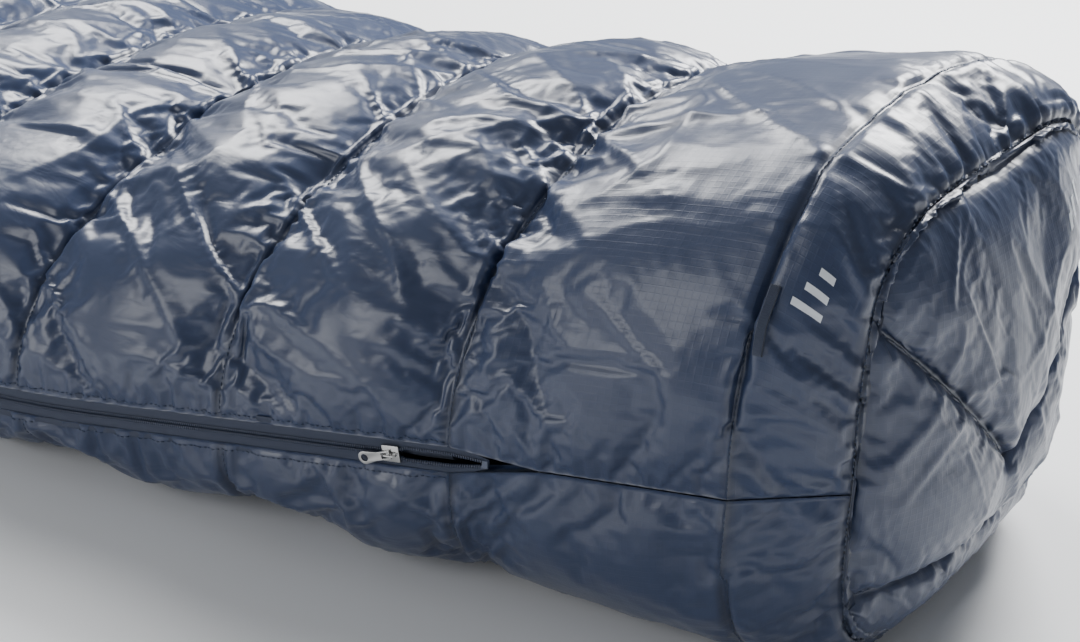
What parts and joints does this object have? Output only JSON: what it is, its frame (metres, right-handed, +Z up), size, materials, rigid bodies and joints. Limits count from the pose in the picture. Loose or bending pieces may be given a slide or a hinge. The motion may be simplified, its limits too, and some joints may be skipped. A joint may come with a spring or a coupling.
{
  "type": "camp quilt",
  "caption": "Hoodless quilt bag lying on its back: transverse baffles, closed box foot with a domed end panel, two-way zip in the near side seam.",
  "frame": {"origin": "centre of the bag's footprint, on the floor it lies on", "axes": "+X towards the foot, -Y towards the zip side, +Z up"},
  "size_m": [1.943, 0.7756, 0.3337],
  "materials": {
    "shell_cloth": "shiny light nylon, navy, puckered at its seams",
    "foot_cloth": "fine ripstop nylon, navy, smoother",
    "lining_cloth": "soft satin nylon, navy",
    "filling": "white synthetic filling, hidden",
    "zip_tape": "woven tape, navy",
    "zip_coil": "navy polyester coil",
    "zip_stops": "moulded stop, navy",
    "binding": "woven binding tape, navy",
    "metal": "nickel plated, worn bright at its edges"
  },
  "bodies": {
    "bag_base": {"toe_top_shell": "foot_cloth", "toe_top_fill": "filling", "toe_bottom_shell": "foot_cloth", "toe_bottom_fill": "filling", "foot_top_shell": "foot_cloth", "foot_top_fill": "filling", "foot_bottom_shell": "foot_cloth", "foot_bottom_fill": "filling", "end_shell_upper": "foot_cloth", "end_shell_middle": "foot_cloth", "end_shell_lower": "foot_cloth", "end_fill": "filling", "foot_lining": "lining_cloth", "leg_top_shell": "shell_cloth", "leg_top_lining": "lining_cloth", "leg_top_fill_1": "filling", "leg_top_fill_2": "filling", "leg_top_fill_3": "filling", "leg_top_fill_4": "filling", "leg_top_fill_5": "filling", "bottom_shell": "shell_cloth", "bottom_lining": "lining_cloth", "bottom_fill_1": "filling", "bottom_fill_2": "filling", "bottom_fill_3": "filling", "bottom_fill_4": "filling", "bottom_fill_5": "filling", "bottom_fill_6": "filling", "bottom_fill_7": "filling", "bottom_fill_8": "filling", "bottom_fill_9": "filling", "bottom_fill_10": "filling", "zip_tape_lower": "zip_tape", "zip_tape_upper_leg": "zip_tape", "zip_chain_lower": "zip_coil", "zip_chain_upper_leg": "zip_coil", "zip_foot_stop": "zip_stops", "zip_neck_stop_lower": "zip_stops", "draft_tube_leg": "lining_cloth", "neck_hem_bottom": "binding", "hang_loop_near": "binding", "hang_loop_far": "binding"},
    "chest_panel": {"chest_top_shell": "shell_cloth", "chest_top_lining": "lining_cloth", "chest_top_fill_1": "filling", "chest_top_fill_2": "filling", "chest_top_fill_3": "filling", "chest_top_fill_4": "filling", "chest_top_fill_5": "filling", "zip_tape_upper_chest": "zip_tape", "zip_chain_upper_chest": "zip_coil", "zip_neck_stop_upper": "zip_stops", "draft_tube_chest": "lining_cloth", "neck_hem_top": "binding", "neck_eyelet_near": "metal", "neck_eyelet_far": "metal"},
    "lower_slider": {"lower_slider": "metal"},
    "lower_pull_tab": {"lower_pull_tab": "metal"},
    "upper_slider": {"upper_slider": "metal"},
    "upper_pull_tab": {"upper_pull_tab": "metal"}
  },
  "joints": [
    {"name": "chest_open", "type": "hinge", "parent": "bag_base", "child": "chest_panel", "pos_m": [-0.1345, 0.385, 0.05], "axis": [-1, 0, 0], "range_deg": [0, 28]},
    {"name": "upper_slider_run", "type": "slide", "parent": "bag_base", "child": "upper_slider", "axis": [1, 0, 0], "range_m": [0, 0.74], "deforming": ["zip_chain_upper_chest"]},
    {"name": "upper_pull_swing", "type": "hinge", "parent": "upper_slider", "child": "upper_pull_tab", "pos_m": [-0.9475, -0.3882, 0.05], "axis": [-0.2079, 0, -0.9781], "range_deg": [0, 170]},
    {"name": "lower_slider_run", "type": "slide", "parent": "bag_base", "child": "lower_slider", "axis": [-0.9685, -0.1919, -0.1585], "range_m": [-0.04, 0.2], "deforming": ["zip_chain_lower", "zip_chain_upper_leg"]},
    {"name": "lower_pull_swing", "type": "hinge", "parent": "lower_slider", "child": "lower_pull_tab", "pos_m": [0.65228, -0.22145, 0.10862], "axis": [-0.3534, -0.07, 0.9328], "range_deg": [0, 170]}
  ],
  "couplings": [
    {"joint": "upper_slider_run", "follows": "chest_open", "m_per_rad": 1.51}
  ]
}
